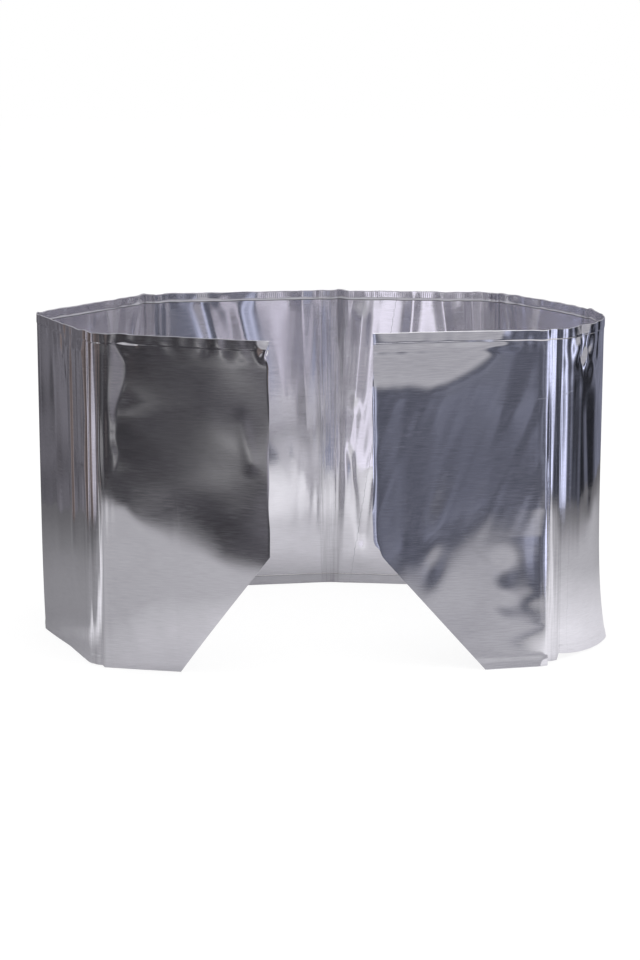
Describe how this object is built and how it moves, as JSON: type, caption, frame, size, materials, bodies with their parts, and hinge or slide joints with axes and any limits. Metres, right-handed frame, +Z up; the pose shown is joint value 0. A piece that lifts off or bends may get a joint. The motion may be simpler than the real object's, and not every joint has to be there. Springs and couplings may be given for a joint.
{
  "type": "stove windscreen",
  "caption": "Folding foil windscreen that stands on edge round a camp stove, panels joined by double creases, edges hemmed.",
  "frame": {"origin": "on the ground under the middle of the back centre spine, on the sheet's middle plane", "axes": "+X to the right seen from the open front, +Y from the open front towards the back, +Z up"},
  "size_m": [0.2771, 0.2151, 0.16],
  "materials": {
    "foil": "bright rolled",
    "crease": "bright rolled, creased",
    "hem": "bright rolled, pressed hem"
  },
  "bodies": {
    "back_centre_spine": {"back_centre_spine": "crease", "back_centre_spine_top_hem": "hem", "back_centre_spine_bottom_hem": "hem"},
    "back_left_panel": {"back_left_panel": "foil", "back_left_panel_top_hem": "hem", "back_left_panel_bottom_hem": "hem"},
    "back_left_spine": {"back_left_spine": "crease", "back_left_spine_top_hem": "hem", "back_left_spine_bottom_hem": "hem"},
    "left_side_back_panel": {"left_side_back_panel": "foil", "left_side_back_panel_top_hem": "hem", "left_side_back_panel_bottom_hem": "hem"},
    "left_side_spine": {"left_side_spine": "crease", "left_side_spine_top_hem": "hem", "left_side_spine_bottom_hem": "hem"},
    "left_side_front_panel": {"left_side_front_panel": "foil", "left_side_front_panel_top_hem": "hem", "left_side_front_panel_bottom_hem": "hem"},
    "front_left_spine": {"front_left_spine": "crease", "front_left_spine_top_hem": "hem", "front_left_spine_bottom_hem": "hem"},
    "front_left_flap": {"front_left_flap": "foil", "front_left_flap_top_hem": "hem", "front_left_flap_bottom_hem": "hem"},
    "back_right_panel": {"back_right_panel": "foil", "back_right_panel_top_hem": "hem", "back_right_panel_bottom_hem": "hem"},
    "back_right_spine": {"back_right_spine": "crease", "back_right_spine_top_hem": "hem", "back_right_spine_bottom_hem": "hem"},
    "right_side_back_panel": {"right_side_back_panel": "foil", "right_side_back_panel_top_hem": "hem", "right_side_back_panel_bottom_hem": "hem"},
    "right_side_spine": {"right_side_spine": "crease", "right_side_spine_top_hem": "hem", "right_side_spine_bottom_hem": "hem"},
    "right_side_front_panel": {"right_side_front_panel": "foil", "right_side_front_panel_top_hem": "hem", "right_side_front_panel_bottom_hem": "hem"},
    "front_right_spine": {"front_right_spine": "crease", "front_right_spine_top_hem": "hem", "front_right_spine_bottom_hem": "hem"},
    "front_right_flap": {"front_right_flap": "foil", "front_right_flap_top_hem": "hem", "front_right_flap_bottom_hem": "hem"}
  },
  "joints": [
    {"name": "back_centre_fold", "type": "hinge", "parent": "back_left_panel", "child": "back_centre_spine", "pos_m": [-0.0032, 0, 0], "axis": [0, 0, 1], "range_deg": [-20, 9]},
    {"name": "back_centre_fold_second_crease", "type": "hinge", "parent": "back_centre_spine", "child": "back_right_panel", "pos_m": [0.0032, 0, 0], "axis": [0, 0, 1], "range_deg": [-20, 9]},
    {"name": "back_left_fold", "type": "hinge", "parent": "back_left_panel", "child": "back_left_spine", "pos_m": [-0.09259, -0.01416, 0], "axis": [0, 0, 1], "range_deg": [-24.75, 28]},
    {"name": "back_left_fold_second_crease", "type": "hinge", "parent": "back_left_spine", "child": "left_side_back_panel", "pos_m": [-0.09791, -0.01771, 0], "axis": [0, 0, 1], "range_deg": [-24.75, 28]},
    {"name": "left_side_fold", "type": "hinge", "parent": "left_side_back_panel", "child": "left_side_spine", "pos_m": [-0.1465, -0.09701, 0], "axis": [0, 0, -1], "range_deg": [-40, 25.5]},
    {"name": "left_side_fold_second_crease", "type": "hinge", "parent": "left_side_spine", "child": "left_side_front_panel", "pos_m": [-0.14717, -0.10337, 0], "axis": [0, 0, -1], "range_deg": [-40, 25.5]},
    {"name": "front_left_fold", "type": "hinge", "parent": "left_side_front_panel", "child": "front_left_spine", "pos_m": [-0.11721, -0.17752, 0], "axis": [0, 0, 1], "range_deg": [-21.5, 65]},
    {"name": "front_left_fold_second_crease", "type": "hinge", "parent": "front_left_spine", "child": "front_left_flap", "pos_m": [-0.11261, -0.18197, 0], "axis": [0, 0, 1], "range_deg": [-21.5, 65]},
    {"name": "back_right_fold", "type": "hinge", "parent": "back_right_panel", "child": "back_right_spine", "pos_m": [0.0832, -0.01267, 0], "axis": [0, 0, -1], "range_deg": [-23, 30]},
    {"name": "back_right_fold_second_crease", "type": "hinge", "parent": "back_right_spine", "child": "right_side_back_panel", "pos_m": [0.08863, -0.01606, 0], "axis": [0, 0, -1], "range_deg": [-23, 30]},
    {"name": "right_side_fold", "type": "hinge", "parent": "right_side_back_panel", "child": "right_side_spine", "pos_m": [0.12454, -0.08505, 0], "axis": [0, 0, 1], "range_deg": [-36, 2]},
    {"name": "right_side_fold_second_crease", "type": "hinge", "parent": "right_side_spine", "child": "right_side_front_panel", "pos_m": [0.12652, -0.09114, 0], "axis": [0, 0, 1], "range_deg": [-36, 2]},
    {"name": "front_right_fold", "type": "hinge", "parent": "right_side_front_panel", "child": "front_right_spine", "pos_m": [0.10484, -0.17205, 0], "axis": [0, 0, -1], "range_deg": [-17, 54]},
    {"name": "front_right_fold_second_crease", "type": "hinge", "parent": "front_right_spine", "child": "front_right_flap", "pos_m": [0.09914, -0.17496, 0], "axis": [0, 0, -1], "range_deg": [-17, 54]}
  ],
  "couplings": [
    {"joint": "back_centre_fold_second_crease", "follows": "back_centre_fold", "ratio": 1},
    {"joint": "back_left_fold_second_crease", "follows": "back_left_fold", "ratio": 1},
    {"joint": "left_side_fold_second_crease", "follows": "left_side_fold", "ratio": 1},
    {"joint": "front_left_fold_second_crease", "follows": "front_left_fold", "ratio": 1},
    {"joint": "back_right_fold_second_crease", "follows": "back_right_fold", "ratio": 1},
    {"joint": "right_side_fold_second_crease", "follows": "right_side_fold", "ratio": 1},
    {"joint": "front_right_fold_second_crease", "follows": "front_right_fold", "ratio": 1}
  ]
}
